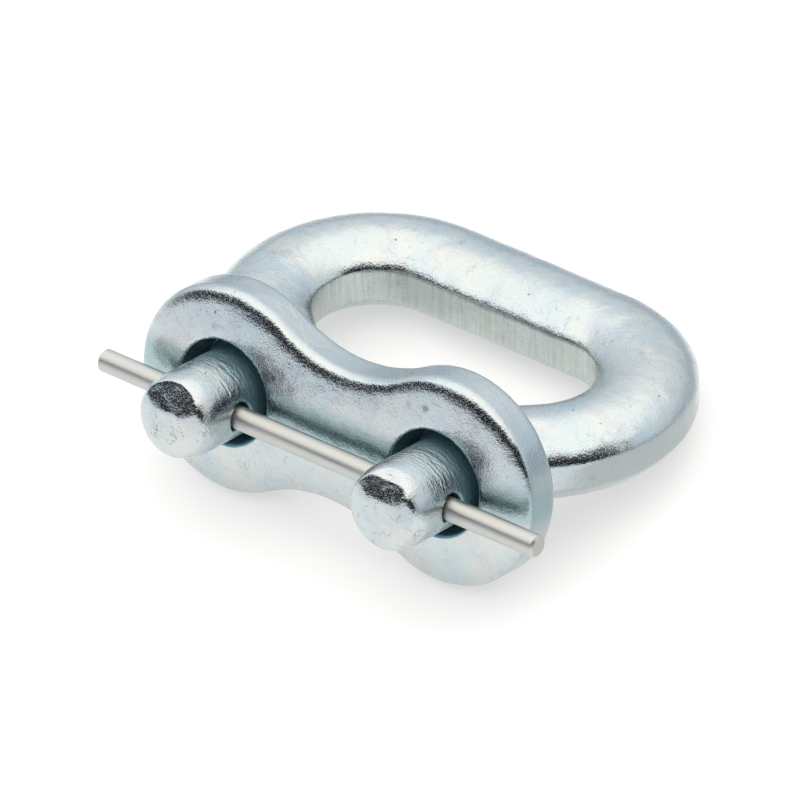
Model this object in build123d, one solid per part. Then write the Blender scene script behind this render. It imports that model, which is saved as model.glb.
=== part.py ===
from build123d import *
from math import acos, atan2, cos, degrees, hypot, radians, sin, sqrt
import os

# Chain connecting link for heavy round-link chain: a forged bow whose two studs pass
# through a loose side plate and are locked by one straight pin.
# The pieces are drawn in a construction frame: X runs along the pin, the studs point to
# -Y, Z is up, and the origin lies midway between the stud axes on the seat of the plate.
# The finished link is then laid down on the floor, the way it comes to rest.
# Lengths are in millimetres and angles in degrees.

# ---- link body: the bow ----
stud_spacing = 42.0          # between the two stud axes
bar_width = 17.7             # oval of the forged bar, in the plane of the bow
bar_height = 13.6            # and square to that plane
inner_flat = 5.9             # height of the flat that trimming leaves round the opening
outer_flat = 4.6             # height of the flat that trimming leaves round the outside
root_bend_radius = 9.6       # where each arm leaves its stud, on the bar's centre line
splay_angle = 48.0           # how far each arm leans outward
arm_straight = 4.8           # straight run between the two bends of an arm
crown_radius = 18.0          # bend from the arm into the back bar
bow_lift = 8.2               # crank between the stud axes and the plane of the bow

# ---- link body: shoulders and studs ----
shoulder_diameter = 20.0     # seat that stops the side plate
shoulder_depth = 9.0         # over which the shoulder fades into the arm
shoulder_rim = 1.6           # straight rim of the shoulder behind the seat
root_diameter = 16.6         # thick root of the stud, which carries the plate
root_length = 1.2            # length of that root in front of the seat
flare_length = 4.8           # over which the root runs out into the stud
stud_diameter = 14.2
stud_length = 22.9           # from the seat to the top of the domed end
dome_diameter = 12.4         # domed end of the stud, inside its tapered nose
dome_radius = 17.0
nose_length = 3.6            # over which the flank tapers in to the dome
stud_rim_radius = 0.8        # rounding between dome and nose
cross_hole_diameter = 4.5    # loose hole for the pin
cross_hole_from_seat = 12.6

# ---- side plate ----
plate_thickness = 8.7
bore_diameter = 17.3
bore_rise = 0.4              # the bores are pierced this far above the plate's middle
lobe_radius = 17.5
lobe_offset = 0.35           # each lobe is centred this far outside its bore
waist_width = 23.4           # height of the plate at its narrowest, between the bores
waist_flat = 0.6             # height of the flat left on the front, in the middle of the waist
crown_tilt = 13.0            # from there the front falls away gently, to this slope
edge_tilt = 30.0             # then faster, to this slope
edge_crown_radius = 7.5
front_edge_radius = 1.4      # and last it turns down into the side wall
back_edge_radius = 1.2
bore_rim_radius = 0.4

# ---- retaining pin ----
pin_diameter = 3.8
pin_length = 86.6
pin_shift = 1.5              # the pin sits this far over to +X
pin_chamfer = 0.35

# ---- fits ----
rest_gap = 0.05              # left between pieces that rest on each other
arm_overlap = 0.4            # the arms start this far behind the seat, inside the shoulders
cut_margin = 2.0             # cutters run past the metal by this much


def bar_section():
    """Section of the bar, an oval trimmed on both sides: x points into the opening."""
    half_width = bar_width / 2
    inner_reach = half_width * sqrt(1 - (inner_flat / bar_height) ** 2)
    outer_reach = half_width * sqrt(1 - (outer_flat / bar_height) ** 2)
    trimmed_width = inner_reach + outer_reach
    trimmed_middle = (inner_reach - outer_reach) / 2
    trim = Pos(trimmed_middle, 0) * Rectangle(trimmed_width, bar_height + cut_margin)
    return Ellipse(half_width, bar_height / 2) & trim


def bow_path():
    """Centre line of the bar from the right stud, round the back, to the left stud."""
    root_bend = JernArc((stud_spacing / 2, 0), (0, 1), root_bend_radius, -splay_angle)
    arm = Line(root_bend @ 1, root_bend @ 1 + (root_bend % 1) * arm_straight)
    crown = JernArc(arm @ 1, arm % 1, crown_radius, 90 + splay_angle)
    right_half = [root_bend, arm, crown]
    left_half = [mirror(piece, about=Plane.YZ) for piece in right_half]
    back_bar = Line(crown @ 1, left_half[-1] @ 1)
    return Wire([piece.edge() for piece in (*right_half, back_bar, *left_half)])


def back_bar_centre():
    """Distance of the back bar's centre line behind the seat, in the plane of the bow."""
    lean = radians(splay_angle)
    arms = root_bend_radius * sin(lean) + arm_straight * cos(lean)
    return arms + crown_radius * (1 + sin(lean))


def make_bow():
    """Bent bar of the bow, cranked up about the line through the stud roots."""
    path = bow_path()
    start = Plane(origin=path @ 0, x_dir=(-1, 0, 0), z_dir=path % 0)
    bar = sweep(start * bar_section(), path=path).rotate(Axis.X, bow_lift)
    return split(bar, bisect_by=Plane.XZ.offset(-arm_overlap), keep=Keep.BOTTOM)


def stud_profile():
    """Half section of a shoulder and its stud: x is the radius, y the axis."""
    seat_radius = shoulder_diameter / 2
    root_radius = root_diameter / 2
    stud_radius = stud_diameter / 2
    end_radius = dome_diameter / 2
    dome_height = dome_radius - sqrt(dome_radius ** 2 - end_radius ** 2)
    nose_drop = stud_radius - end_radius
    nose_radius = (nose_length ** 2 + nose_drop ** 2) / (2 * nose_drop)
    tip = (0, -stud_length)
    dome_rim = (end_radius, dome_height - stud_length)
    nose_start = (stud_radius, dome_rim[1] + nose_length)
    root_end = (root_radius, -root_length)
    flare_middle = -root_length - flare_length / 2
    flare_end = (stud_radius, -root_length - flare_length)
    with BuildSketch() as profile:
        with BuildLine():
            RadiusArc(tip, dome_rim, -dome_radius)
            RadiusArc(dome_rim, nose_start, -nose_radius)
            Line(nose_start, flare_end)
            Bezier(flare_end, (stud_radius, flare_middle), (root_radius, flare_middle), root_end)
            Polyline(root_end, (root_radius, 0), (seat_radius, 0), (seat_radius, shoulder_rim))
            fade = shoulder_depth - shoulder_rim
            EllipticalCenterArc((0, shoulder_rim), seat_radius, fade, 0, arc_size=90)
            Line((0, shoulder_depth), tip)
        make_face()
        fillet(profile.vertices().sort_by_distance(dome_rim)[0], stud_rim_radius)
    return profile.sketch


def make_link_body():
    stud = revolve(stud_profile(), Axis.Y)
    body = make_bow() + [Pos(side * stud_spacing / 2) * stud for side in (-1, 1)]
    hole_length = stud_spacing + stud_diameter + cut_margin
    cross_hole = Cylinder(cross_hole_diameter / 2, hole_length, rotation=(0, 90, 0))
    return body - Pos(0, -cross_hole_from_seat, 0) * cross_hole


def plate_outline():
    """Figure-of-eight outline: two lobes joined by two hollow waist arcs."""
    lobe_centre = stud_spacing / 2 + lobe_offset
    half_waist = waist_width / 2
    waist_radius = (lobe_centre ** 2 + half_waist ** 2 - lobe_radius ** 2) / (lobe_radius - half_waist) / 2
    waist_centre = half_waist + waist_radius
    lean = degrees(atan2(waist_centre, lobe_centre))
    lobe_sweep = 360 - 2 * lean
    waist_sweep = 2 * lean - 180
    with BuildLine() as outline:
        CenterArc((lobe_centre, 0), lobe_radius, lean - 180, lobe_sweep)
        CenterArc((0, waist_centre), waist_radius, -lean, waist_sweep)
        CenterArc((-lobe_centre, 0), lobe_radius, lean, lobe_sweep)
        CenterArc((0, -waist_centre), waist_radius, 180 - lean, waist_sweep)
    return outline.wire()


def above_the_crown():
    """Section of what the crown takes off: x points in from the side wall, y to the front."""
    steep = radians(edge_tilt)
    gentle = radians(crown_tilt)
    edge_reach = front_edge_radius * (1 - sin(steep)) + edge_crown_radius * (sin(steep) - sin(gentle))
    edge_drop = front_edge_radius * cos(steep) + edge_crown_radius * (cos(gentle) - cos(steep))
    gentle_radius = ((waist_width - waist_flat) / 2 - edge_reach) / sin(gentle)
    drop = edge_drop + gentle_radius * (1 - cos(gentle))
    with BuildSketch() as section:
        with BuildLine():
            edge = JernArc((0, -drop), (0, 1), front_edge_radius, edge_tilt - 90)
            edge_crown = JernArc(edge @ 1, edge % 1, edge_crown_radius, crown_tilt - edge_tilt)
            gentle_crown = JernArc(edge_crown @ 1, edge_crown % 1, gentle_radius, -crown_tilt)
            inner_end = gentle_crown @ 1
            Polyline(
                inner_end,
                inner_end + Vector(0, cut_margin),
                (-cut_margin, cut_margin),
                (-cut_margin, -drop),
                (0, -drop),
            )
        make_face()
    return section.sketch


def make_side_plate():
    """Plate with its back on z = 0 and its front facing +Z, then turned upright."""
    outline = plate_outline()
    plate = extrude(make_face(outline), plate_thickness)
    plate = fillet(plate.edges().group_by(Axis.Z)[0], back_edge_radius)
    front_outline = Pos(0, 0, plate_thickness) * outline
    heading = front_outline % 0
    across = Plane(origin=front_outline @ 0, x_dir=Vector(0, 0, 1).cross(heading), z_dir=heading)
    plate -= sweep(across * above_the_crown(), path=front_outline)
    bore = Cylinder(bore_diameter / 2, 2 * plate_thickness)
    plate -= [Pos(side * stud_spacing / 2, bore_rise, plate_thickness / 2) * bore for side in (-1, 1)]
    bore_walls = plate.faces().filter_by(GeomType.CYLINDER)
    bore_walls = bore_walls.filter_by(lambda wall: abs(wall.radius - bore_diameter / 2) < 0.001)
    bore_rims = [edge for edge in bore_walls.edges() if edge.geom_type != GeomType.LINE]
    return fillet(bore_rims, bore_rim_radius).rotate(Axis.X, 90)


def make_retaining_pin():
    pin = Cylinder(pin_diameter / 2, pin_length, rotation=(0, 90, 0))
    return chamfer(pin.edges().filter_by(GeomType.CIRCLE), pin_chamfer)


def rest_tilt(plate_back_edge, plate_bottom):
    """Angle that lays the plate's lower back edge and the back bar on one floor."""
    edge_y = plate_back_edge - back_edge_radius
    edge_drop = -plate_bottom - back_edge_radius
    bar_y = back_bar_centre() * cos(radians(bow_lift))
    bar_z = back_bar_centre() * sin(radians(bow_lift))
    run = bar_y - edge_y
    rise = bar_z + edge_drop
    tilt = atan2(rise, run)
    for _ in range(20):
        slope = tilt - radians(bow_lift)
        bar_reach = hypot(bar_width / 2 * sin(slope), bar_height / 2 * cos(slope))
        tilt = acos((bar_reach - back_edge_radius) / hypot(run, rise)) - atan2(run, rise)
    return degrees(tilt)


link_body = make_link_body()
side_plate = make_side_plate()
retaining_pin = make_retaining_pin()

# The plate lies against the shoulders and is pushed up on the stud roots by the floor.
plate_lift = (bore_diameter - root_diameter) / 2 - rest_gap
side_plate = Pos(0, -rest_gap, plate_lift - bore_rise) * side_plate
tilt = rest_tilt(side_plate.bounding_box().max.Y, side_plate.bounding_box().min.Z)

# The pin lies at the bottom of the cross holes, which is straight down once the link is tilted.
pin_drop = (cross_hole_diameter - pin_diameter) / 2 - rest_gap
pin_y = -cross_hole_from_seat + pin_drop * sin(radians(tilt))
retaining_pin = Pos(pin_shift, pin_y, -pin_drop * cos(radians(tilt))) * retaining_pin

# Laid on the floor with the plate in front, and the origin under the middle of the whole.
pieces = {"link_body": link_body, "side_plate": side_plate, "retaining_pin": retaining_pin}
laid_down = {name: piece.rotate(Axis.X, -tilt) for name, piece in pieces.items()}
box = Compound(list(laid_down.values())).bounding_box()
to_origin = Pos(-box.center().X, -box.center().Y, -box.min.Z)

os.makedirs("parts", exist_ok=True)
for name, piece in laid_down.items():
    export_step(to_origin * piece, f"parts/{name}.step")
print("rest tilt", round(tilt, 3), "degrees")
print("overall size", box.size)
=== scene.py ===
# %% [markdown]
# # A connecting link for round-link chain
# The link is three real pieces: a forged bow that ends in two studs, a loose side plate
# that slips over the studs, and a plain pin through both of them. Their shapes come from
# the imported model, which holds the true sizes in metres, so this script only adds what a
# plating shop and a product studio add: surfaces, light, a floor and a camera.

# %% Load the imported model
import bpy
from math import cos, radians, sin
from mathutils import Matrix, Vector
from mathutils.noise import noise


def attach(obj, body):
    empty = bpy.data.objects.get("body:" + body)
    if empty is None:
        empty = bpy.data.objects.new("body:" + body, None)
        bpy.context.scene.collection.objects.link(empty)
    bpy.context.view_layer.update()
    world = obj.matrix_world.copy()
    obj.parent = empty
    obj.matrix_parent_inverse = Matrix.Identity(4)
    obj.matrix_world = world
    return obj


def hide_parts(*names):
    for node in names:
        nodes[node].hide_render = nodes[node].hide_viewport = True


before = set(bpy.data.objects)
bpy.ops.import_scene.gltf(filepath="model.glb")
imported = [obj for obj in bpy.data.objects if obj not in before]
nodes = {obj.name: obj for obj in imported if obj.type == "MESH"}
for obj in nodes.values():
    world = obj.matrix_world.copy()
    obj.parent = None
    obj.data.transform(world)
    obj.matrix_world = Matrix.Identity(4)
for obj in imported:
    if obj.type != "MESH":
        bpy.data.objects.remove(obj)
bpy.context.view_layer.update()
scene = bpy.context.scene
scene.view_settings.view_transform = "Standard"
MM = 0.001

# %% [markdown]
# ## Directions on the link
# The link lies on the floor with its studs pointing forward and up, so the stud axes and
# the floor differ by one tilt. Every finish could be placed in floor directions, with the
# tilt worked into each number. It is easier to place them in the stud's own directions,
# so one matrix turns those into the row's: X runs along the pin and the studs point to -Y.

# %% The tilt of the link on the floor
REST_TILT = radians(20.888)
BOW_LIFT = radians(8.2)
SEAT_CENTRE = Vector((-1.386, -13.411, 16.077)) * MM
stud_to_row = Matrix.Translation(SEAT_CENTRE) @ Matrix.Rotation(-REST_TILT, 4, "X")
row_to_stud = stud_to_row.inverted()
print("stud axis points along", tuple(round(x, 3) for x in stud_to_row.to_3x3() @ Vector((0, -1, 0))))

# %% [markdown]
# ## Camera
# A product camera with a very long lens stands a little over two metres away, so that
# parallel edges stay nearly parallel. A short lens close by would fill the frame as well,
# but it would swell the nearer stud. It looks from the front right and from above, and it
# is rolled a little, so that the link lies aslant in the frame.

# %% Camera
VIEW_AZIMUTH = radians(45.469)
VIEW_ELEVATION = radians(43.506)
VIEW_ROLL = radians(-11.805)
VIEW_DISTANCE = 2.26925
AIM = Vector((-1.207, -4.168, 12.828)) * MM
LENS_MM = 648.93
FILM_WIDTH_MM = 36
FARTHEST_SEEN = 20

def view_direction(azimuth, elevation):
    """From the link towards the viewer; azimuth 0 is the front, 90 degrees the right."""
    return Vector((sin(azimuth) * cos(elevation), -cos(azimuth) * cos(elevation), sin(elevation)))

camera = bpy.data.objects.new("camera", bpy.data.cameras.new("camera"))
scene.collection.objects.link(camera)
back = view_direction(VIEW_AZIMUTH, VIEW_ELEVATION)
roll = Matrix.Rotation(VIEW_ROLL, 3, "Z").to_quaternion()
camera.rotation_mode = "QUATERNION"
camera.rotation_quaternion = (-back).to_track_quat("-Z", "Y") @ roll
camera.location = AIM + back * VIEW_DISTANCE
camera.data.lens = LENS_MM
camera.data.sensor_width = FILM_WIDTH_MM
camera.data.clip_end = FARTHEST_SEEN
scene.camera = camera
print("camera at", tuple(round(x, 3) for x in camera.location))

# %% [markdown]
# ## Colours and nodes
# Colours are written as the hex values of an ordinary colour picker. Shaders count in
# linear light, so one function converts them. A second one adds a shader node, sets it
# and links it in a single call, which keeps each material as readable as a recipe.

# %% Colour and node helpers
# A mix node has sockets for every kind of value, so its colour sockets go by their number.
UNDER = 6
OVER = 7
MIXED = 2

def linear(hex_colour):
    """Linear RGBA of an sRGB hex colour such as 'C8CCD0'."""
    channels = [int(hex_colour[i:i + 2], 16) / 255 for i in (0, 2, 4)]
    return [c / 12.92 if c <= 0.04045 else ((c + 0.055) / 1.055) ** 2.4 for c in channels] + [1]

def add(tree, kind, inputs=None, **settings):
    """Adds a node; an input is either a value or the output socket that feeds it."""
    made = tree.nodes.new(kind)
    for key, value in settings.items():
        setattr(made, key, value)
    for socket, value in (inputs or {}).items():
        if isinstance(value, bpy.types.NodeSocket):
            tree.links.new(value, made.inputs[socket])
        else:
            made.inputs[socket].default_value = value
    return made

def new_material(name):
    """An empty material and its node tree."""
    material = bpy.data.materials.new(name)
    material.use_nodes = True
    material.node_tree.nodes.clear()
    return material, material.node_tree

print("white in linear light:", linear("FFFFFF"))

# %% [markdown]
# ## Floor and air
# Bright metal shows its surroundings more than itself, so the studio is built in two
# parts. The first is what lights the room and what the lens sees: a pale matt floor and
# white air. A plain matt floor would look grey next to white air, so with distance it
# turns into a white glow. Close to the link less than half of it glows, which keeps the
# link's shadow, though lighter than on a fully matt floor.

# %% Floor
FLOOR_HALF = 3.0
SHADOW_REACH = 0.12
FLOOR_BLEND = 0.25
NEAR_GLARE = 0.45

def mesh_object(name, points, faces, material):
    """A mesh made of the given points and faces, placed in the scene."""
    mesh = bpy.data.meshes.new(name)
    mesh.from_pydata(points, [], faces)
    mesh.materials.append(material)
    made = bpy.data.objects.new(name, mesh)
    scene.collection.objects.link(made)
    return made

def seen_directly(tree):
    """1 for rays from the lens, a mirror or glass, and 0 for the light that fills the room."""
    path = add(tree, "ShaderNodeLightPath")
    sharp = add(tree, "ShaderNodeMath", {
        0: path.outputs["Is Camera Ray"],
        1: path.outputs["Is Glossy Ray"],
    }, operation="MAXIMUM")
    return add(tree, "ShaderNodeMath", {
        0: sharp.outputs[0],
        1: path.outputs["Is Transmission Ray"],
    }, operation="MAXIMUM").outputs[0]

def distance_from_link(tree):
    """How far a point of a floor piece lies from the middle of the link."""
    place = add(tree, "ShaderNodeTexCoord")
    reach = add(tree, "ShaderNodeVectorMath", {0: place.outputs["Object"]}, operation="LENGTH")
    return reach.outputs["Value"]

def pale_floor():
    """Matt off-white paint that turns into a white glow away from the link."""
    material, tree = new_material("floor_paint")
    paint = add(tree, "ShaderNodeBsdfDiffuse", {"Color": linear("F6F4EF")})
    away = add(tree, "ShaderNodeMapRange", {
        "Value": distance_from_link(tree),
        "From Min": SHADOW_REACH,
        "From Max": SHADOW_REACH + FLOOR_BLEND,
        "To Min": NEAR_GLARE,
    }, interpolation_type="SMOOTHSTEP")
    share = add(tree, "ShaderNodeMath", {0: away.outputs[0], 1: seen_directly(tree)}, operation="MULTIPLY")
    glare = add(tree, "ShaderNodeEmission", {"Color": linear("FFFFFF"), "Strength": 1.0})
    both = add(tree, "ShaderNodeMixShader", {0: share.outputs[0], 1: paint.outputs[0], 2: glare.outputs[0]})
    add(tree, "ShaderNodeOutputMaterial", {"Surface": both.outputs[0]})
    return material

corners = [(x, y, 0) for x, y in ((-1, -1), (1, -1), (1, 1), (-1, 1))]
floor = mesh_object("floor", [Vector(c) * FLOOR_HALF for c in corners], [(0, 1, 2, 3)], pale_floor())
print("floor is", 2 * FLOOR_HALF, "m wide and keeps its shadow for", SHADOW_REACH, "m round the link")

# %% Air
ROOM_LIGHT = 0.9

def studio_air():
    """White where it is seen, and slightly cool and dimmer where it lights the room."""
    world = bpy.data.worlds.new("studio_air")
    world.use_nodes = True
    tree = world.node_tree
    tree.nodes.clear()
    air = add(tree, "ShaderNodeBackground", {"Color": linear("F2F4F6"), "Strength": ROOM_LIGHT})
    white = add(tree, "ShaderNodeBackground", {"Color": linear("FFFFFF"), "Strength": 1.0})
    both = add(tree, "ShaderNodeMixShader", {0: seen_directly(tree), 1: air.outputs[0], 2: white.outputs[0]})
    add(tree, "ShaderNodeOutputWorld", {"Surface": both.outputs[0]})
    return world

scene.world = studio_air()
print("the air lights the room at", ROOM_LIGHT)

# %% [markdown]
# ## Tent
# The second part of the studio is what the metal mirrors. All-white surroundings would
# make the metal look like white plastic, so a tent stands round the link: lit cloth
# overhead, cool grey walls at the sides and the back, and a dark gap in front, where the
# camera looks in. The gap draws the dark bands that tell the eye how the edges are
# rounded. Only mirrors see the tent. It lights nothing else, and the lens sees white
# behind the link. Overhead the cloth glows brighter than white paper, so upward faces of
# the metal come out brighter than under plain white air.

# %% Tent cloths
TENT_TILT = radians(13.9)
TENT_RADIUS = 1.3
GAP_RADIUS = 1.2
CLOTH_STEPS = 12
CLOTH_FOOT = -12
CLOTH_TOP = 90
FRONT_START = -68
FRONT_END = 98
WALL_END = 292

def as_reflector(card):
    """Only mirrors see the card, so it neither shows nor lights nor shades anything else."""
    card.visible_camera = False
    card.visible_diffuse = False
    card.visible_shadow = False
    return card

def tent_material(name, stops):
    """Glowing cloth whose glow changes with height. A stop is (elevation, hex colour, strength)."""
    material, tree = new_material(name)
    place = add(tree, "ShaderNodeTexCoord")
    outward = add(tree, "ShaderNodeVectorMath", {0: place.outputs["Object"]}, operation="NORMALIZE")
    height = add(tree, "ShaderNodeSeparateXYZ", {0: outward.outputs[0]}).outputs["Z"]
    elevation, colour, strength = stops[0]
    glow = add(tree, "ShaderNodeEmission", {"Color": linear(colour), "Strength": strength})
    for upper_elevation, upper_colour, upper_strength in stops[1:]:
        step = add(tree, "ShaderNodeMapRange", {
            "Value": height,
            "From Min": sin(radians(elevation)),
            "From Max": sin(radians(upper_elevation)),
        }, interpolation_type="SMOOTHSTEP")
        upper = add(tree, "ShaderNodeEmission", {"Color": linear(upper_colour), "Strength": upper_strength})
        glow = add(tree, "ShaderNodeMixShader", {0: step.outputs[0], 1: glow.outputs[0], 2: upper.outputs[0]})
        elevation = upper_elevation
    add(tree, "ShaderNodeOutputMaterial", {"Surface": glow.outputs[0]})
    return material

def tent_cloth(name, radius, stations, material):
    """A piece of a sphere round the link, through stations of (azimuth, lowest, highest) in degrees."""
    columns = []
    for left, right in zip(stations, stations[1:]):
        for i in range(CLOTH_STEPS):
            columns.append([a + (b - a) * i / CLOTH_STEPS for a, b in zip(left, right)])
    columns.append(stations[-1])
    points = [
        view_direction(radians(azimuth), radians(low + (high - low) * j / CLOTH_STEPS)) * radius
        for azimuth, low, high in columns for j in range(CLOTH_STEPS + 1)
    ]
    height = CLOTH_STEPS + 1
    faces = [
        (i * height + j, (i + 1) * height + j, (i + 1) * height + j + 1, i * height + j + 1)
        for i in range(len(columns) - 1) for j in range(CLOTH_STEPS)
    ]
    cloth = mesh_object(name, points, faces, material)
    cloth.rotation_euler = (-TENT_TILT, 0, 0)
    print(name, "goes from", stations[0][0], "to", stations[-1][0], "degrees")
    return as_reflector(cloth)

gap = tent_material("dark_gap", [(-90, "292A31", 1.0), (90, "292A31", 1.0)])
front = tent_material("front_cloth", [
    (2, "F6FAFF", 1.05),
    (10, "F6FAFF", 1.2),
    (26, "FFFFFF", 1.48),
    (60, "FFFBF4", 1.6),
])
walls = tent_material("wall_cloth", [
    (-12, "A9B3BB", 1.0),
    (4, "CCD8E1", 1.0),
    (22, "F0F8FD", 1.0),
    (32, "F2F8FC", 1.0),
    (43, "FFFFFF", 1.2),
    (56, "FFFBF4", 1.6),
])
# The gap's outline in degrees, before the tent is tilted: azimuth, lower and upper edge.
GAP_OUTLINE = [
    (FRONT_START, -3, 19),
    (-45, 4, 27),
    (-30, 7, 31),
    (-18, 6, 38),
    (-8, 7, 46),
    (12, 9, 48),
    (50, 9, 48),
    (72, 3, 46),
    (FRONT_END, 3, 44),
]
tent_cloth("lens_gap", GAP_RADIUS, GAP_OUTLINE, gap)
tent_cloth("front_cloth", TENT_RADIUS, [
    (FRONT_START, CLOTH_FOOT, CLOTH_TOP),
    (FRONT_END, CLOTH_FOOT, CLOTH_TOP),
], front)
tent_cloth("wall_cloth", TENT_RADIUS, [
    (FRONT_END, CLOTH_FOOT, CLOTH_TOP),
    (WALL_END, CLOTH_FOOT, CLOTH_TOP),
], walls)

# %% [markdown]
# ## Grey cards
# The underside of the bow and the low sides of the plate mirror the floor. A white floor
# would leave them flat, so a studio lays grey cards there. They could be painted on the
# floor itself, but the lens would then see them, so they are cards of their own that only
# mirrors see, one behind the link and one on its right.

# %% Grey cards on the floor
CARD_HEIGHT = 0.2 * MM
CARD_REACH = 0.6
BEHIND_LINK = 0.05
RIGHT_OF_LINK = 0.036
RIGHT_CARD_FRONT = -0.02
CARD_NEAR = 0.05
CARD_FAR = 0.2

def card_material(name, near_colour, far_colour):
    """A card that darkens with its distance from the link."""
    material, tree = new_material(name)
    away = add(tree, "ShaderNodeMapRange", {
        "Value": distance_from_link(tree),
        "From Min": CARD_NEAR,
        "From Max": CARD_FAR,
    })
    tint = add(tree, "ShaderNodeMix", {
        "Factor": away.outputs[0],
        UNDER: linear(near_colour),
        OVER: linear(far_colour),
    }, data_type="RGBA")
    glow = add(tree, "ShaderNodeEmission", {"Color": tint.outputs[MIXED], "Strength": 1.0})
    add(tree, "ShaderNodeOutputMaterial", {"Surface": glow.outputs[0]})
    return material

def floor_card(name, left, right, front, back, material):
    """A card on the floor, its sides in metres."""
    corners = [(left, front), (right, front), (right, back), (left, back)]
    points = [(x, y, CARD_HEIGHT) for x, y in corners]
    return as_reflector(mesh_object(name, points, [(0, 1, 2, 3)], material))

back_grey = card_material("back_card", "CFD8DF", "B4C0CA")
right_grey = card_material("right_card", "F0F0EC", "C8CCCC")
floor_card("back_card", -CARD_REACH, CARD_REACH, BEHIND_LINK, CARD_REACH, back_grey)
floor_card("right_card", RIGHT_OF_LINK, CARD_REACH, RIGHT_CARD_FRONT, BEHIND_LINK, right_grey)
print("grey cards lie", CARD_HEIGHT / MM, "mm above the floor")

# %% [markdown]
# ## Lamp
# One wide round lamp overhead gives the floor and the link an even soft light. A small
# lamp would throw a hard shadow. Mirrors don't see it, because the cloths already give the
# metal its highlights.

# %% Lamp
LAMP_WATTS = 29
LAMP_WIDTH = 3.0
LAMP_PLACE = (0.1, -0.1, 1.4)

lamp = bpy.data.objects.new("overhead_lamp", bpy.data.lights.new("overhead_lamp", "AREA"))
lamp.data.energy = LAMP_WATTS
lamp.data.shape = "DISK"
lamp.data.size = LAMP_WIDTH
lamp.location = LAMP_PLACE
lamp.visible_glossy = False
scene.collection.objects.link(lamp)
print("lamp", LAMP_WATTS, "W,", LAMP_WIDTH, "m wide")

# %% [markdown]
# ## Forged skins
# A drop forging is never as even as its drawing: the die wears and the hot steel flows
# into folds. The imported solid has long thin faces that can't bend, so each forging first
# gets an even fine mesh. Sculpting would do the same by hand, but it can't be repeated.

# %% Remeshing a forging
BOW_VOXEL = 0.4 * MM
PLATE_VOXEL = 0.36 * MM

def bake(piece):
    """Turns a piece's modifiers into plain mesh."""
    result = bpy.data.meshes.new_from_object(piece.evaluated_get(bpy.context.evaluated_depsgraph_get()))
    piece.modifiers.clear()
    piece.data = result
    result.polygons.foreach_set("use_smooth", [True] * len(result.polygons))

def fresh_skin(node, voxel):
    """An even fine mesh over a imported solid."""
    piece = bpy.data.objects.new(node + "_skin", nodes[node].data.copy())
    scene.collection.objects.link(piece)
    even = piece.modifiers.new("even", "REMESH")
    even.mode = "VOXEL"
    even.voxel_size = voxel
    bake(piece)
    print(piece.name, len(piece.data.polygons), "faces")
    return piece

body = fresh_skin("link_body", BOW_VOXEL)
plate = fresh_skin("side_plate", PLATE_VOXEL)

# %% [markdown]
# ## Sheared stud ends
# The stud ends aren't turned flat. They have slanting facets with soft edges and a
# hammered surface. Cutting them with flat planes would give knife edges, so each vertex
# near the end is pushed back along the stud, by the depth of the deepest facet there.

# %% Sheared facets on the stud ends
STUD_OFFSET = 21.0 * MM
STUD_LENGTH = 22.9 * MM
NOSE_REACH = 6.0 * MM
NOSE_WIDTH = 1.5 * NOSE_REACH
END_FLAT = 0.35 * MM
HAMMER_SIZE = 1.4 * MM
HAMMER_DEPTH = 0.07 * MM
RIGHT = 1
LEFT = -1

# A facet is (x, z, start, slope, curl). x and z point the way that it falls, across the
# stud. It starts that many mm from the axis, falls at that slope, and curls further down.
RIGHT_FACETS = [
    (0.0, 1.0, 2.1, 0.38, 0.0),
    (0.0, 1.0, 3.9, 0.4, 0.2),
    (0.45, 0.89, 4.5, 0.55, 0.15),
]
LEFT_FACETS = [
    (0.0, 1.0, 1.6, 0.38, 0.0),
    (0.0, 1.0, 4.8, 0.5, 0.3),
    (0.6, 0.8, 5.7, 1.1, 0.0),
]

def facet_depth(x, z, facets):
    """How far the deepest facet lies behind the full length of the stud."""
    depth = END_FLAT
    for along_x, along_z, start, slope, curl in facets:
        reach = max(0.0, x * along_x + z * along_z - start * MM)
        depth = max(depth, END_FLAT + slope * reach + curl * reach * reach / MM)
    return min(depth, NOSE_REACH)

def press_end(piece, side, facets):
    """Flattens the end of one stud, and returns how many vertices it moved."""
    moved = 0
    for vertex in piece.data.vertices:
        x, y, z = row_to_stud @ vertex.co
        x -= side * STUD_OFFSET
        if y > NOSE_REACH - STUD_LENGTH or abs(x) > NOSE_WIDTH:
            continue
        dent = HAMMER_DEPTH * noise(Vector((x, z, side * MM)) / HAMMER_SIZE)
        depth = facet_depth(x, z, facets) + dent
        if y < depth - STUD_LENGTH:
            vertex.co = stud_to_row @ Vector((x + side * STUD_OFFSET, depth - STUD_LENGTH, z))
            moved += 1
    return moved

print("right end:", press_end(body, RIGHT, RIGHT_FACETS), "vertices pressed back")
print("left end:", press_end(body, LEFT, LEFT_FACETS), "vertices pressed back")

# %% [markdown]
# ## Swells
# Long shallow swells show a forging as soon as light runs over it. Bump in the material
# could draw them, but it doesn't change the outline, so they are real displacement. Their
# middle level is 1, so the surface only moves inwards and the drawing's size is kept.

# %% Swells of the forging
EDGE_SOFTNESS = 0.5
BOW_RELAXING = 3
PLATE_RELAXING = 6
BOW_SWELL_SIZE = 4.5 * MM
BOW_SWELL_DEPTH = 0.16 * MM
PLATE_SWELL_SIZE = 4.0 * MM
PLATE_SWELL_DEPTH = 0.12 * MM

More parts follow.
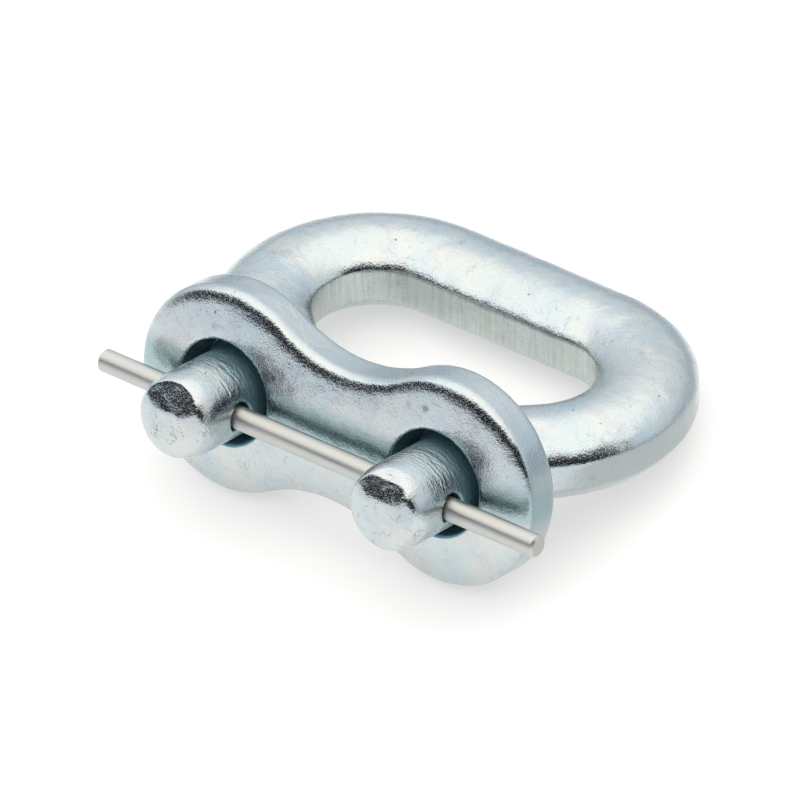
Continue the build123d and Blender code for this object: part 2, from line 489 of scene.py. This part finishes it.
def settle(piece, relaxing, swell_size, swell_depth):
    """Rounds the edges a little and lays shallow swells over the surface."""
    relax = piece.modifiers.new("relax", "SMOOTH")
    relax.factor = EDGE_SOFTNESS
    relax.iterations = relaxing
    swells = bpy.data.textures.new(piece.name + "_swells", "CLOUDS")
    swells.noise_scale = swell_size
    swells.noise_depth = 1
    uneven = piece.modifiers.new("uneven", "DISPLACE")
    uneven.texture = swells
    uneven.strength = swell_depth
    uneven.mid_level = 1.0
    bake(piece)
    print(piece.name, "swells up to", swell_depth / MM, "mm deep")

settle(body, BOW_RELAXING, BOW_SWELL_SIZE, BOW_SWELL_DEPTH)
settle(plate, PLATE_RELAXING, PLATE_SWELL_SIZE, PLATE_SWELL_DEPTH)

# %% [markdown]
# ## Zinc plating
# Bright zinc on a forging is a mirror made of tiny crystals: most are smooth, some are
# matt, and they lean a few degrees either way. The mirror gives clear dark bands, and the
# matt crystals break the edges of those bands into salt and pepper. One even roughness
# would blur the bands instead. The next cells each add one thing that happens to such a
# skin, as a small recipe that takes the tint or the relief so far and returns a new one.

# %% Crystals
# Real zinc crystals are hundredths of a millimetre wide. They are drawn many times
# coarser, about as fine as the render can show.
CRYSTAL_SIZE = 0.2 * MM
GRAIN_SIZE = 0.35 * MM
GRAIN_RELIEF = 0.05 * MM
SWELL_SIZE = 2.2 * MM
SWELL_RELIEF = 0.08 * MM
SMOOTH_CRYSTAL = 0.1
MATT_CRYSTAL = 0.45
# Above the first value of the noise a crystal starts to be matt, above the second it is.
MATT_START = 0.57
MATT_FULL = 0.67

def stud_directions(tree, texture):
    """Where a point of a piece lies, in the stud's own directions."""
    return add(tree, "ShaderNodeMapping", {
        "Vector": texture.outputs["Object"],
        "Location": row_to_stud.to_translation(),
        "Rotation": (REST_TILT, 0, 0),
    }).outputs[0]

def crystal_relief(tree, place):
    """The lean of the crystals over small swells. Returns the relief and the swells."""
    grain = add(tree, "ShaderNodeTexNoise", {
        "Vector": place, "Scale": 1 / GRAIN_SIZE, "Detail": 3.0, "Roughness": 0.6,
    })
    swell = add(tree, "ShaderNodeTexNoise", {
        "Vector": place, "Scale": 1 / SWELL_SIZE, "Detail": 2.0, "Roughness": 0.5,
    })
    relief = add(tree, "ShaderNodeBump", {
        "Height": swell.outputs["Fac"], "Distance": SWELL_RELIEF, "Strength": 1.0,
    })
    relief = add(tree, "ShaderNodeBump", {
        "Height": grain.outputs["Fac"], "Distance": GRAIN_RELIEF, "Strength": 1.0,
        "Normal": relief.outputs["Normal"],
    })
    return relief.outputs["Normal"], swell.outputs["Fac"]

def crystal_gloss(tree, place):
    """Which crystals are matt. Returns the roughness and the noise that it comes from."""
    crystals = add(tree, "ShaderNodeTexNoise", {
        "Vector": place, "Scale": 1 / CRYSTAL_SIZE, "Detail": 1.0, "Roughness": 0.6,
    })
    gloss = add(tree, "ShaderNodeMapRange", {
        "Value": crystals.outputs["Fac"], "From Min": MATT_START, "From Max": MATT_FULL,
        "To Min": SMOOTH_CRYSTAL, "To Max": MATT_CRYSTAL,
    })
    return gloss.outputs[0], crystals.outputs["Color"]

print("crystals are drawn", CRYSTAL_SIZE / MM, "mm wide")

# %% [markdown]
# ## Passivation
# After plating, the zinc gets a thin clear film against white rust. It shows faint clouds
# of blue, beige and violet, as oil on water does. A thin-film shader could work the
# colours out, but two slow noises between three hex colours are easier to steer.

# %% Passivation clouds
PATCH_SIZE = 7.0 * MM
CLOUD_SIZE = 4.5 * MM
VIOLET_SHARE = 0.5
WARM_START = 0.35
WARM_FULL = 0.7
VIOLET_START = 0.52
VIOLET_FULL = 0.72

def passivation(tree, place):
    """The colour of the film. Returns the tint and the clouds."""
    patches = add(tree, "ShaderNodeTexNoise", {
        "Vector": place, "Scale": 1 / PATCH_SIZE, "Detail": 4.0, "Roughness": 0.6,
    })
    warmth = add(tree, "ShaderNodeMapRange", {
        "Value": patches.outputs["Fac"], "From Min": WARM_START, "From Max": WARM_FULL,
    })
    tint = add(tree, "ShaderNodeMix", {
        "Factor": warmth.outputs[0], UNDER: linear("BECCD2"), OVER: linear("CFD1CE"),
    }, data_type="RGBA").outputs[MIXED]
    clouds = add(tree, "ShaderNodeTexNoise", {
        "Vector": place, "Scale": 1 / CLOUD_SIZE, "Detail": 3.0, "Roughness": 0.6,
    })
    violet = add(tree, "ShaderNodeMapRange", {
        "Value": clouds.outputs["Fac"], "From Min": VIOLET_START, "From Max": VIOLET_FULL,
        "To Max": VIOLET_SHARE,
    })
    tint = add(tree, "ShaderNodeMix", {
        "Factor": violet.outputs[0], UNDER: tint, OVER: linear("BEBCC6"),
    }, data_type="RGBA").outputs[MIXED]
    return tint, clouds.outputs["Color"]

print("clouds are about", CLOUD_SIZE / MM, "to", PATCH_SIZE / MM, "mm wide")

# %% [markdown]
# ## Pits and rust
# Where the zinc is thin or missed a spot, it shows dark pits and a few brown stains.
# Pits are many and anywhere, so cells of a Voronoi pattern place them, with one pit at
# most in each cell. Stains are few, so each has its own place, and noise frays its edge.

# %% Pits and rust
PIT_SPACING = 2.4 * MM
LARGEST_PIT = 0.12
PIT_SHARE = 0.6
CELLS_WITHOUT_PIT = 0.5
STAIN_SPREAD = 1.1 * MM
STAIN_CORE = 0.1 * MM
STAIN_RADIUS = 0.9 * MM

def pits(tree, place, tint):
    """Small dark dots."""
    cells = add(tree, "ShaderNodeTexVoronoi", {"Vector": place, "Scale": 1 / PIT_SPACING})
    chance = add(tree, "ShaderNodeSeparateColor", {"Color": cells.outputs["Color"]}).outputs[0]
    size = add(tree, "ShaderNodeMapRange", {
        "Value": chance, "From Min": CELLS_WITHOUT_PIT, "From Max": 1.0,
        "To Min": 0.0, "To Max": LARGEST_PIT,
    }).outputs[0]
    dots = add(tree, "ShaderNodeMath", {0: cells.outputs["Distance"], 1: size}, operation="LESS_THAN")
    dark = add(tree, "ShaderNodeMath", {0: dots.outputs[0], 1: PIT_SHARE}, operation="MULTIPLY")
    return add(tree, "ShaderNodeMix", {
        "Factor": dark.outputs[0], UNDER: tint, OVER: linear("4E4A46"),
    }, data_type="RGBA").outputs[MIXED]

def rust(tree, place, crystals, stains, tint):
    """Brown stains with ragged edges. A stain is (x, y, z, strength), in mm from the seat."""
    ragged = add(tree, "ShaderNodeVectorMath", {
        0: crystals, 1: (STAIN_SPREAD, STAIN_SPREAD, STAIN_SPREAD),
    }, operation="MULTIPLY").outputs[0]
    frayed = add(tree, "ShaderNodeVectorMath", {0: place, 1: ragged}, operation="ADD").outputs[0]
    for x, y, z, strength in stains:
        centre = [c * MM + STAIN_SPREAD / 2 for c in (x, y, z)]
        away = add(tree, "ShaderNodeVectorMath", {0: frayed, 1: centre}, operation="DISTANCE")
        stain = add(tree, "ShaderNodeMapRange", {
            "Value": away.outputs["Value"], "From Min": STAIN_CORE, "From Max": STAIN_RADIUS,
            "To Min": strength, "To Max": 0.0,
        }).outputs[0]
        tint = add(tree, "ShaderNodeMix", {
            "Factor": stain, UNDER: tint, OVER: linear("7C6759"),
        }, data_type="RGBA").outputs[MIXED]
    return tint

print("pits are", PIT_SPACING / MM, "mm apart, stains up to", STAIN_RADIUS / MM, "mm in radius")

# %% [markdown]
# ## Cracks and scuffs
# Fine dark lines run over the zinc, and they are densest on the sheared stud ends. They
# could be drawn one by one. The borders of a second Voronoi pattern give them all at
# once, bent by the clouds so that no line is straight and broken up by the swells.

# %% Cracks
CRACK_SPACING = 3.4 * MM
CRACK_BEND = 6.0 * MM
CRACK_CORE = 0.008
CRACK_EDGE = 0.03
UNBROKEN_START = 0.5
UNBROKEN_FULL = 0.58
DENSE_BEFORE = -21 * MM
SPARSE_BEHIND = -19 * MM
DENSE_SHARE = 0.6
SPARSE_SHARE = 0.22

def crack_lines(tree, place, clouds):
    """1 in the middle of a crack and 0 away from it."""
    shift = add(tree, "ShaderNodeVectorMath", {
        0: clouds, 1: (CRACK_BEND, CRACK_BEND, CRACK_BEND),
    }, operation="MULTIPLY")
    bent = add(tree, "ShaderNodeVectorMath", {0: place, 1: shift.outputs[0]}, operation="ADD")
    edges = add(tree, "ShaderNodeTexVoronoi", {
        "Vector": bent.outputs[0], "Scale": 1 / CRACK_SPACING,
    }, feature="DISTANCE_TO_EDGE")
    return add(tree, "ShaderNodeMapRange", {
        "Value": edges.outputs["Distance"], "From Min": CRACK_CORE, "From Max": CRACK_EDGE,
        "To Min": 1.0, "To Max": 0.0,
    }).outputs[0]

def cracks(tree, place, clouds, swell, depth, tint):
    """Thin broken lines, dense on the stud ends."""
    broken = add(tree, "ShaderNodeMapRange", {
        "Value": swell, "From Min": UNBROKEN_START, "From Max": UNBROKEN_FULL,
    })
    thin = add(tree, "ShaderNodeMath", {
        0: crack_lines(tree, place, clouds), 1: broken.outputs[0],
    }, operation="MULTIPLY")
    amount = add(tree, "ShaderNodeMapRange", {
        "Value": depth, "From Min": DENSE_BEFORE, "From Max": SPARSE_BEHIND,
        "To Min": DENSE_SHARE, "To Max": SPARSE_SHARE,
    })
    share = add(tree, "ShaderNodeMath", {0: thin.outputs[0], 1: amount.outputs[0]}, operation="MULTIPLY")
    return add(tree, "ShaderNodeMix", {
        "Factor": share.outputs[0], UNDER: tint, OVER: linear("6E6A64"),
    }, data_type="RGBA").outputs[MIXED]

print("cracks enclose plates of about", CRACK_SPACING / MM, "mm")

# %% [markdown]
# ## Trimmed walls
# A forging leaves the die with a thin flash round its edge, and a press trims it off. The
# trimmed walls are duller than the struck faces, with shear marks that run through the
# thickness. They are found by their direction: a wall's normal lies across the direction
# in which the press moves. A mask painted by hand would have to be made again after
# every change of shape.

# %% Trimmed walls
STREAK_STRETCH = 16
STREAK_WIDTH = 0.6 * MM
STREAK_START = 0.42
STREAK_FULL = 0.62
# How squarely a face meets the press: below the first value it is a wall, above the second not.
WALL_FULL = 0.3
WALL_NONE = 0.6
WALL_SHARE = 0.8
OUTSIDE_SHEAR = 0.1
BEHIND_STUDS = 3 * MM
BOW_PROPER = 6 * MM
OPENING_CENTRE = (0, 6 * MM, 0)
OPENING_BLEND = 1 * MM

BOW_TRIM = {
    "press": (0, sin(REST_TILT - BOW_LIFT), cos(REST_TILT - BOW_LIFT)),
    "turn": (BOW_LIFT, 0, 0),
    "stretch": (1, 1, STREAK_STRETCH),
    "shear": 0.05 * MM,
    "colours": ("BEC6C2", "AFB7B4"),
}
PLATE_TRIM = {
    "press": (0, cos(REST_TILT), -sin(REST_TILT)),
    "turn": (0, 0, 0),
    "stretch": (1, STREAK_STRETCH, 1),
    "shear": 0.02 * MM,
    "colours": ("B8C3C9", "ACB7BD"),
}

def trimmed_mask(tree, normal, press, depth, is_bow):
    """1 on walls that stand along the press direction, and on the bow only behind the studs."""
    facing = add(tree, "ShaderNodeVectorMath", {0: normal, 1: press}, operation="DOT_PRODUCT")
    facing = add(tree, "ShaderNodeMath", {0: facing.outputs["Value"]}, operation="ABSOLUTE")
    wall = add(tree, "ShaderNodeMapRange", {
        "Value": facing.outputs[0], "From Min": WALL_FULL, "From Max": WALL_NONE,
        "To Min": 1.0, "To Max": 0.0,
    }).outputs[0]
    if is_bow:
        behind = add(tree, "ShaderNodeMapRange", {
            "Value": depth, "From Min": BEHIND_STUDS, "From Max": BOW_PROPER,
        }).outputs[0]
        wall = add(tree, "ShaderNodeMath", {0: wall, 1: behind}, operation="MULTIPLY").outputs[0]
    return wall

def faces_opening(tree, texture):
    """1 on walls that look into the opening of the link, and little elsewhere."""
    centre = add(tree, "ShaderNodeVectorMath", {
        0: texture.outputs["Object"], 1: OPENING_CENTRE,
    }, operation="SUBTRACT").outputs[0]
    outward = add(tree, "ShaderNodeVectorMath", {
        0: centre, 1: texture.outputs["Normal"],
    }, operation="DOT_PRODUCT").outputs["Value"]
    return add(tree, "ShaderNodeMapRange", {
        "Value": outward, "From Min": -OPENING_BLEND, "From Max": OPENING_BLEND,
        "To Min": 1.0, "To Max": OUTSIDE_SHEAR,
    }).outputs[0]

def trimmed_walls(tree, texture, place, depth, is_bow, tint, relief):
    """Dull walls with shear marks. Returns the tint and the relief."""
    trim = BOW_TRIM if is_bow else PLATE_TRIM
    across = add(tree, "ShaderNodeMapping", {
        "Vector": place, "Rotation": trim["turn"], "Scale": trim["stretch"],
    }, vector_type="TEXTURE").outputs[0]
    shear = add(tree, "ShaderNodeTexNoise", {
        "Vector": across, "Scale": 1 / STREAK_WIDTH, "Detail": 3.0, "Roughness": 0.6,
    }).outputs["Fac"]
    wall = trimmed_mask(tree, texture.outputs["Normal"], trim["press"], depth, is_bow)
    inner = faces_opening(tree, texture)
    cut = add(tree, "ShaderNodeMath", {0: shear, 1: wall}, operation="MULTIPLY").outputs[0]
    cut = add(tree, "ShaderNodeMath", {0: cut, 1: inner}, operation="MULTIPLY").outputs[0]
    relief = add(tree, "ShaderNodeBump", {
        "Height": cut, "Distance": trim["shear"], "Strength": 1.0, "Normal": relief,
    }).outputs["Normal"]
    streaks = add(tree, "ShaderNodeMapRange", {
        "Value": shear, "From Min": STREAK_START, "From Max": STREAK_FULL,
    }).outputs[0]
    pale, grey = trim["colours"]
    trimmed = add(tree, "ShaderNodeMix", {
        "Factor": streaks, UNDER: linear(pale), OVER: linear(grey),
    }, data_type="RGBA").outputs[MIXED]
    trimmed = add(tree, "ShaderNodeMix", {
        "Factor": inner, UNDER: linear("B8C2C8"), OVER: trimmed,
    }, data_type="RGBA").outputs[MIXED]
    dull = add(tree, "ShaderNodeMath", {0: wall, 1: WALL_SHARE}, operation="MULTIPLY").outputs[0]
    tint = add(tree, "ShaderNodeMix", {
        "Factor": dull, UNDER: tint, OVER: trimmed,
    }, data_type="RGBA").outputs[MIXED]
    return tint, relief

print("shear marks are", STREAK_WIDTH / MM, "mm wide and", STREAK_STRETCH, "times as long")

# %% [markdown]
# ## Bores and stud roots, with painted shade
# Deep in the bores, and on the stud roots inside them, the zinc is painted satin and
# teal. Both lie within one radius of a stud's axis, so that distance finds them. The
# colour is given and isn't worked out from how zinc is plated.

# %% Satin bores and roots, with painted shade
BORE_INSIDE = 8.8 * MM
BORE_EDGE = 9.0 * MM
DEEP_START = -14 * MM
DEEP_FULL = -9 * MM
BACK_START = 0 * MM
BACK_END = 1 * MM
SATIN = 0.55

def before_shoulders(tree, depth):
    """1 in front of the bow's shoulders and 0 behind them."""
    return add(tree, "ShaderNodeMapRange", {
        "Value": depth, "From Min": BACK_START, "From Max": BACK_END, "To Min": 1.0, "To Max": 0.0,
    }).outputs[0]

def near_stud_axis(tree, along):
    """1 inside the radius of a bore, round either stud."""
    sideways = add(tree, "ShaderNodeMath", {0: along.outputs["X"]}, operation="ABSOLUTE").outputs[0]
    sideways = add(tree, "ShaderNodeMath", {0: sideways, 1: STUD_OFFSET}, operation="SUBTRACT").outputs[0]
    spot = add(tree, "ShaderNodeCombineXYZ", {"X": sideways, "Z": along.outputs["Z"]}).outputs[0]
    radius = add(tree, "ShaderNodeVectorMath", {0: spot}, operation="LENGTH").outputs["Value"]
    return add(tree, "ShaderNodeMapRange", {
        "Value": radius, "From Min": BORE_INSIDE, "From Max": BORE_EDGE, "To Min": 1.0, "To Max": 0.0,
    }).outputs[0]

def satin_and_shaded_bores(tree, along, front, tint, gloss):
    """Satin zinc in the bores and on the roots, with a darker teal tint that is painted shade of the recess.
    Returns the tint and the roughness.
    """
    deep = add(tree, "ShaderNodeMapRange", {
        "Value": along.outputs["Y"], "From Min": DEEP_START, "From Max": DEEP_FULL,
    }).outputs[0]
    deep = add(tree, "ShaderNodeMath", {0: deep, 1: front}, operation="MULTIPLY").outputs[0]
    hidden = add(tree, "ShaderNodeMath", {
        0: deep, 1: near_stud_axis(tree, along),
    }, operation="MULTIPLY").outputs[0]
    # The darker teal is painted shade of the deep recess round each stud.
    tint = add(tree, "ShaderNodeMix", {
        "Factor": hidden, UNDER: tint, OVER: linear("8CB2BC"),
    }, data_type="RGBA").outputs[MIXED]
    # Sockets 2 and 3 and output 0 are the mix node's plain numbers.
    gloss = add(tree, "ShaderNodeMix", {"Factor": hidden, 2: gloss, 3: SATIN}).outputs[0]
    return tint, gloss

print("satin zinc within", BORE_EDGE / MM, "mm of a stud axis")

# %% [markdown]
# ## Painted shade along the pin, and turned marks
# Two recipes belong to one piece each. The plate gets painted shade along the pin, which
# stands close in front of it: a soft, darker and bluer strip that stands in for the pin's
# shade and dark reflection. It doesn't follow the pin and stays on the plate when the pin
# is pulled out. The studs have fine marks that run round them, from the root to the cross
# hole, as turning leaves them.

# %% Painted shade along the pin, and turned marks
PIN_HEIGHT = 1.2 * MM
# The painted shade along the pin: its half width, where it fades out, and how strongly it tints.
PIN_SHADE_HALF = 1.5 * MM
PIN_SHADE_FADE = 4.5 * MM
PIN_SHADE_SHARE = 0.75
# Real turned marks are about a tenth of a millimetre apart. They are drawn coarser, so
# that the render shows them.
TURNED_SPACING = 0.7 * MM
TURNED_STRETCH = 0.3
TURNED_DEPTH = 0.15 * MM
CROSS_HOLE = -18 * MM
ROOT_START = -14 * MM

def painted_pin_shade(tree, along, tint):
    """Painted shade: a darker, bluer strip on the plate, along the pin."""
    above = add(tree, "ShaderNodeMath", {0: along.outputs["Z"], 1: PIN_HEIGHT}, operation="SUBTRACT")
    above = add(tree, "ShaderNodeMath", {0: above.outputs[0]}, operation="ABSOLUTE")
    shaded = add(tree, "ShaderNodeMapRange", {
        "Value": above.outputs[0], "From Min": PIN_SHADE_HALF, "From Max": PIN_SHADE_FADE,
        "To Min": PIN_SHADE_SHARE, "To Max": 0.0,
    }).outputs[0]
    # The colour of the painted shade along the pin.
    return add(tree, "ShaderNodeMix", {
        "Factor": shaded, UNDER: tint, OVER: linear("96B2BA"),
    }, data_type="RGBA").outputs[MIXED]

def turned_marks(tree, place, depth, front, relief):
    """Fine rings round the studs."""
    around = add(tree, "ShaderNodeMapping", {
        "Vector": place, "Scale": (TURNED_STRETCH, 1.0, TURNED_STRETCH),
    }).outputs[0]
    turned = add(tree, "ShaderNodeTexNoise", {
        "Vector": around, "Scale": 1 / TURNED_SPACING, "Detail": 2.0, "Roughness": 0.6,
    }).outputs["Fac"]
    root = add(tree, "ShaderNodeMapRange", {
        "Value": depth, "From Min": CROSS_HOLE, "From Max": ROOT_START,
    }).outputs[0]
    stretch = add(tree, "ShaderNodeMath", {0: root, 1: front}, operation="MULTIPLY").outputs[0]
    turned = add(tree, "ShaderNodeMath", {0: turned, 1: stretch}, operation="MULTIPLY").outputs[0]
    return add(tree, "ShaderNodeBump", {
        "Height": turned, "Distance": TURNED_DEPTH, "Strength": 1.0, "Normal": relief,
    }).outputs["Normal"]

print("turned marks are drawn", TURNED_SPACING / MM, "mm apart")

# %% [markdown]
# ## The plated forgings
# The bow and the plate have the same kind of plating, so both materials are put together
# from the recipes above by one function. Two copies of the whole material would soon
# drift apart. Each remade skin then takes over its body and its node.

# %% Plating both forgings
# A stain is (x, y, z, strength), in mm in the stud's directions.
BOW_STAINS = [(38.1, 9.9, 0.9, 0.7), (39.2, 11.5, 0.1, 0.4), (29.5, 32.5, 11.5, 0.3)]
PLATE_STAINS = [(18.0, -8.2, 12.1, 0.9), (14.6, -8.0, 11.6, 0.4), (-23.8, -8.4, 10.9, 0.35)]

def zinc_plating(name, stains, is_bow):
    """Bright zinc. Only the bow has turned marks, and only the plate has the painted shade along the pin."""
    material, tree = new_material(name)
    texture = add(tree, "ShaderNodeTexCoord")
    place = stud_directions(tree, texture)
    along = add(tree, "ShaderNodeSeparateXYZ", {0: place})
    depth = along.outputs["Y"]
    front = before_shoulders(tree, depth)
    relief, swell = crystal_relief(tree, place)
    gloss, crystals = crystal_gloss(tree, place)
    tint, clouds = passivation(tree, place)
    tint = pits(tree, place, tint)
    tint = rust(tree, place, crystals, stains, tint)
    tint = cracks(tree, place, clouds, swell, depth, tint)
    tint, relief = trimmed_walls(tree, texture, place, depth, is_bow, tint, relief)
    tint, gloss = satin_and_shaded_bores(tree, along, front, tint, gloss)
    if is_bow:
        relief = turned_marks(tree, place, depth, front, relief)
    else:
        # The plate gets the painted shade along the pin.
        tint = painted_pin_shade(tree, along, tint)
    skin = add(tree, "ShaderNodeBsdfPrincipled", {
        "Base Color": tint, "Metallic": 1.0, "Roughness": gloss, "Normal": relief,
    })
    add(tree, "ShaderNodeOutputMaterial", {"Surface": skin.outputs[0]})
    print(name, "has", len(tree.nodes), "shader nodes")
    return material

def finish_piece(piece, node, material):
    """Hands a remade piece its material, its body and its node."""
    piece.data.materials.clear()
    piece.data.materials.append(material)
    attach(piece, node)
    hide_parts(node)

bow_plating = zinc_plating("zinc_plated_bow", BOW_STAINS, True)
plate_plating = zinc_plating("zinc_plated_plate", PLATE_STAINS, False)
finish_piece(body, "link_body", bow_plating)
finish_piece(plate, "side_plate", plate_plating)

# %% [markdown]
# ## Cold-drawn pin
# The pin is plain wire, drawn through a die and cut to length. Drawing leaves fine lines
# along it and a warm grey. Its mesh is already true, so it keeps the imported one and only
# takes a material, whose noise is stretched along the wire.

# %% Drawn wire
# Real drawing lines are finer than the render can show, so they are drawn coarser.
LINE_WIDTH = 0.25 * MM
LINE_DEPTH = 0.006 * MM
LINE_STRETCH = 0.02
SMOOTH_WIRE = 0.38
DULL_WIRE = 0.5
DULL_START = 0.3
DULL_FULL = 0.7

def drawn_wire():
    """Bare steel wire with lines along it."""
    material, tree = new_material("drawn_steel")
    texture = add(tree, "ShaderNodeTexCoord")
    along = add(tree, "ShaderNodeMapping", {
        "Vector": texture.outputs["Object"], "Scale": (LINE_STRETCH, 1.0, 1.0),
    }).outputs[0]
    lines = add(tree, "ShaderNodeTexNoise", {
        "Vector": along, "Scale": 1 / LINE_WIDTH, "Detail": 2.0, "Roughness": 0.6,
    }).outputs["Fac"]
    relief = add(tree, "ShaderNodeBump", {"Height": lines, "Distance": LINE_DEPTH, "Strength": 1.0})
    gloss = add(tree, "ShaderNodeMapRange", {
        "Value": lines, "From Min": DULL_START, "From Max": DULL_FULL,
        "To Min": SMOOTH_WIRE, "To Max": DULL_WIRE,
    })
    tint = add(tree, "ShaderNodeMix", {
        "Factor": lines, UNDER: linear("B6BAB8"), OVER: linear("D2D2CE"),
    }, data_type="RGBA")
    skin = add(tree, "ShaderNodeBsdfPrincipled", {
        "Base Color": tint.outputs[MIXED], "Metallic": 1.0,
        "Roughness": gloss.outputs[0], "Normal": relief.outputs["Normal"],
    })
    add(tree, "ShaderNodeOutputMaterial", {"Surface": skin.outputs[0]})
    return material

nodes["retaining_pin"].data.materials.clear()
nodes["retaining_pin"].data.materials.append(drawn_wire())
print("drawing lines are drawn", LINE_WIDTH / MM, "mm wide")
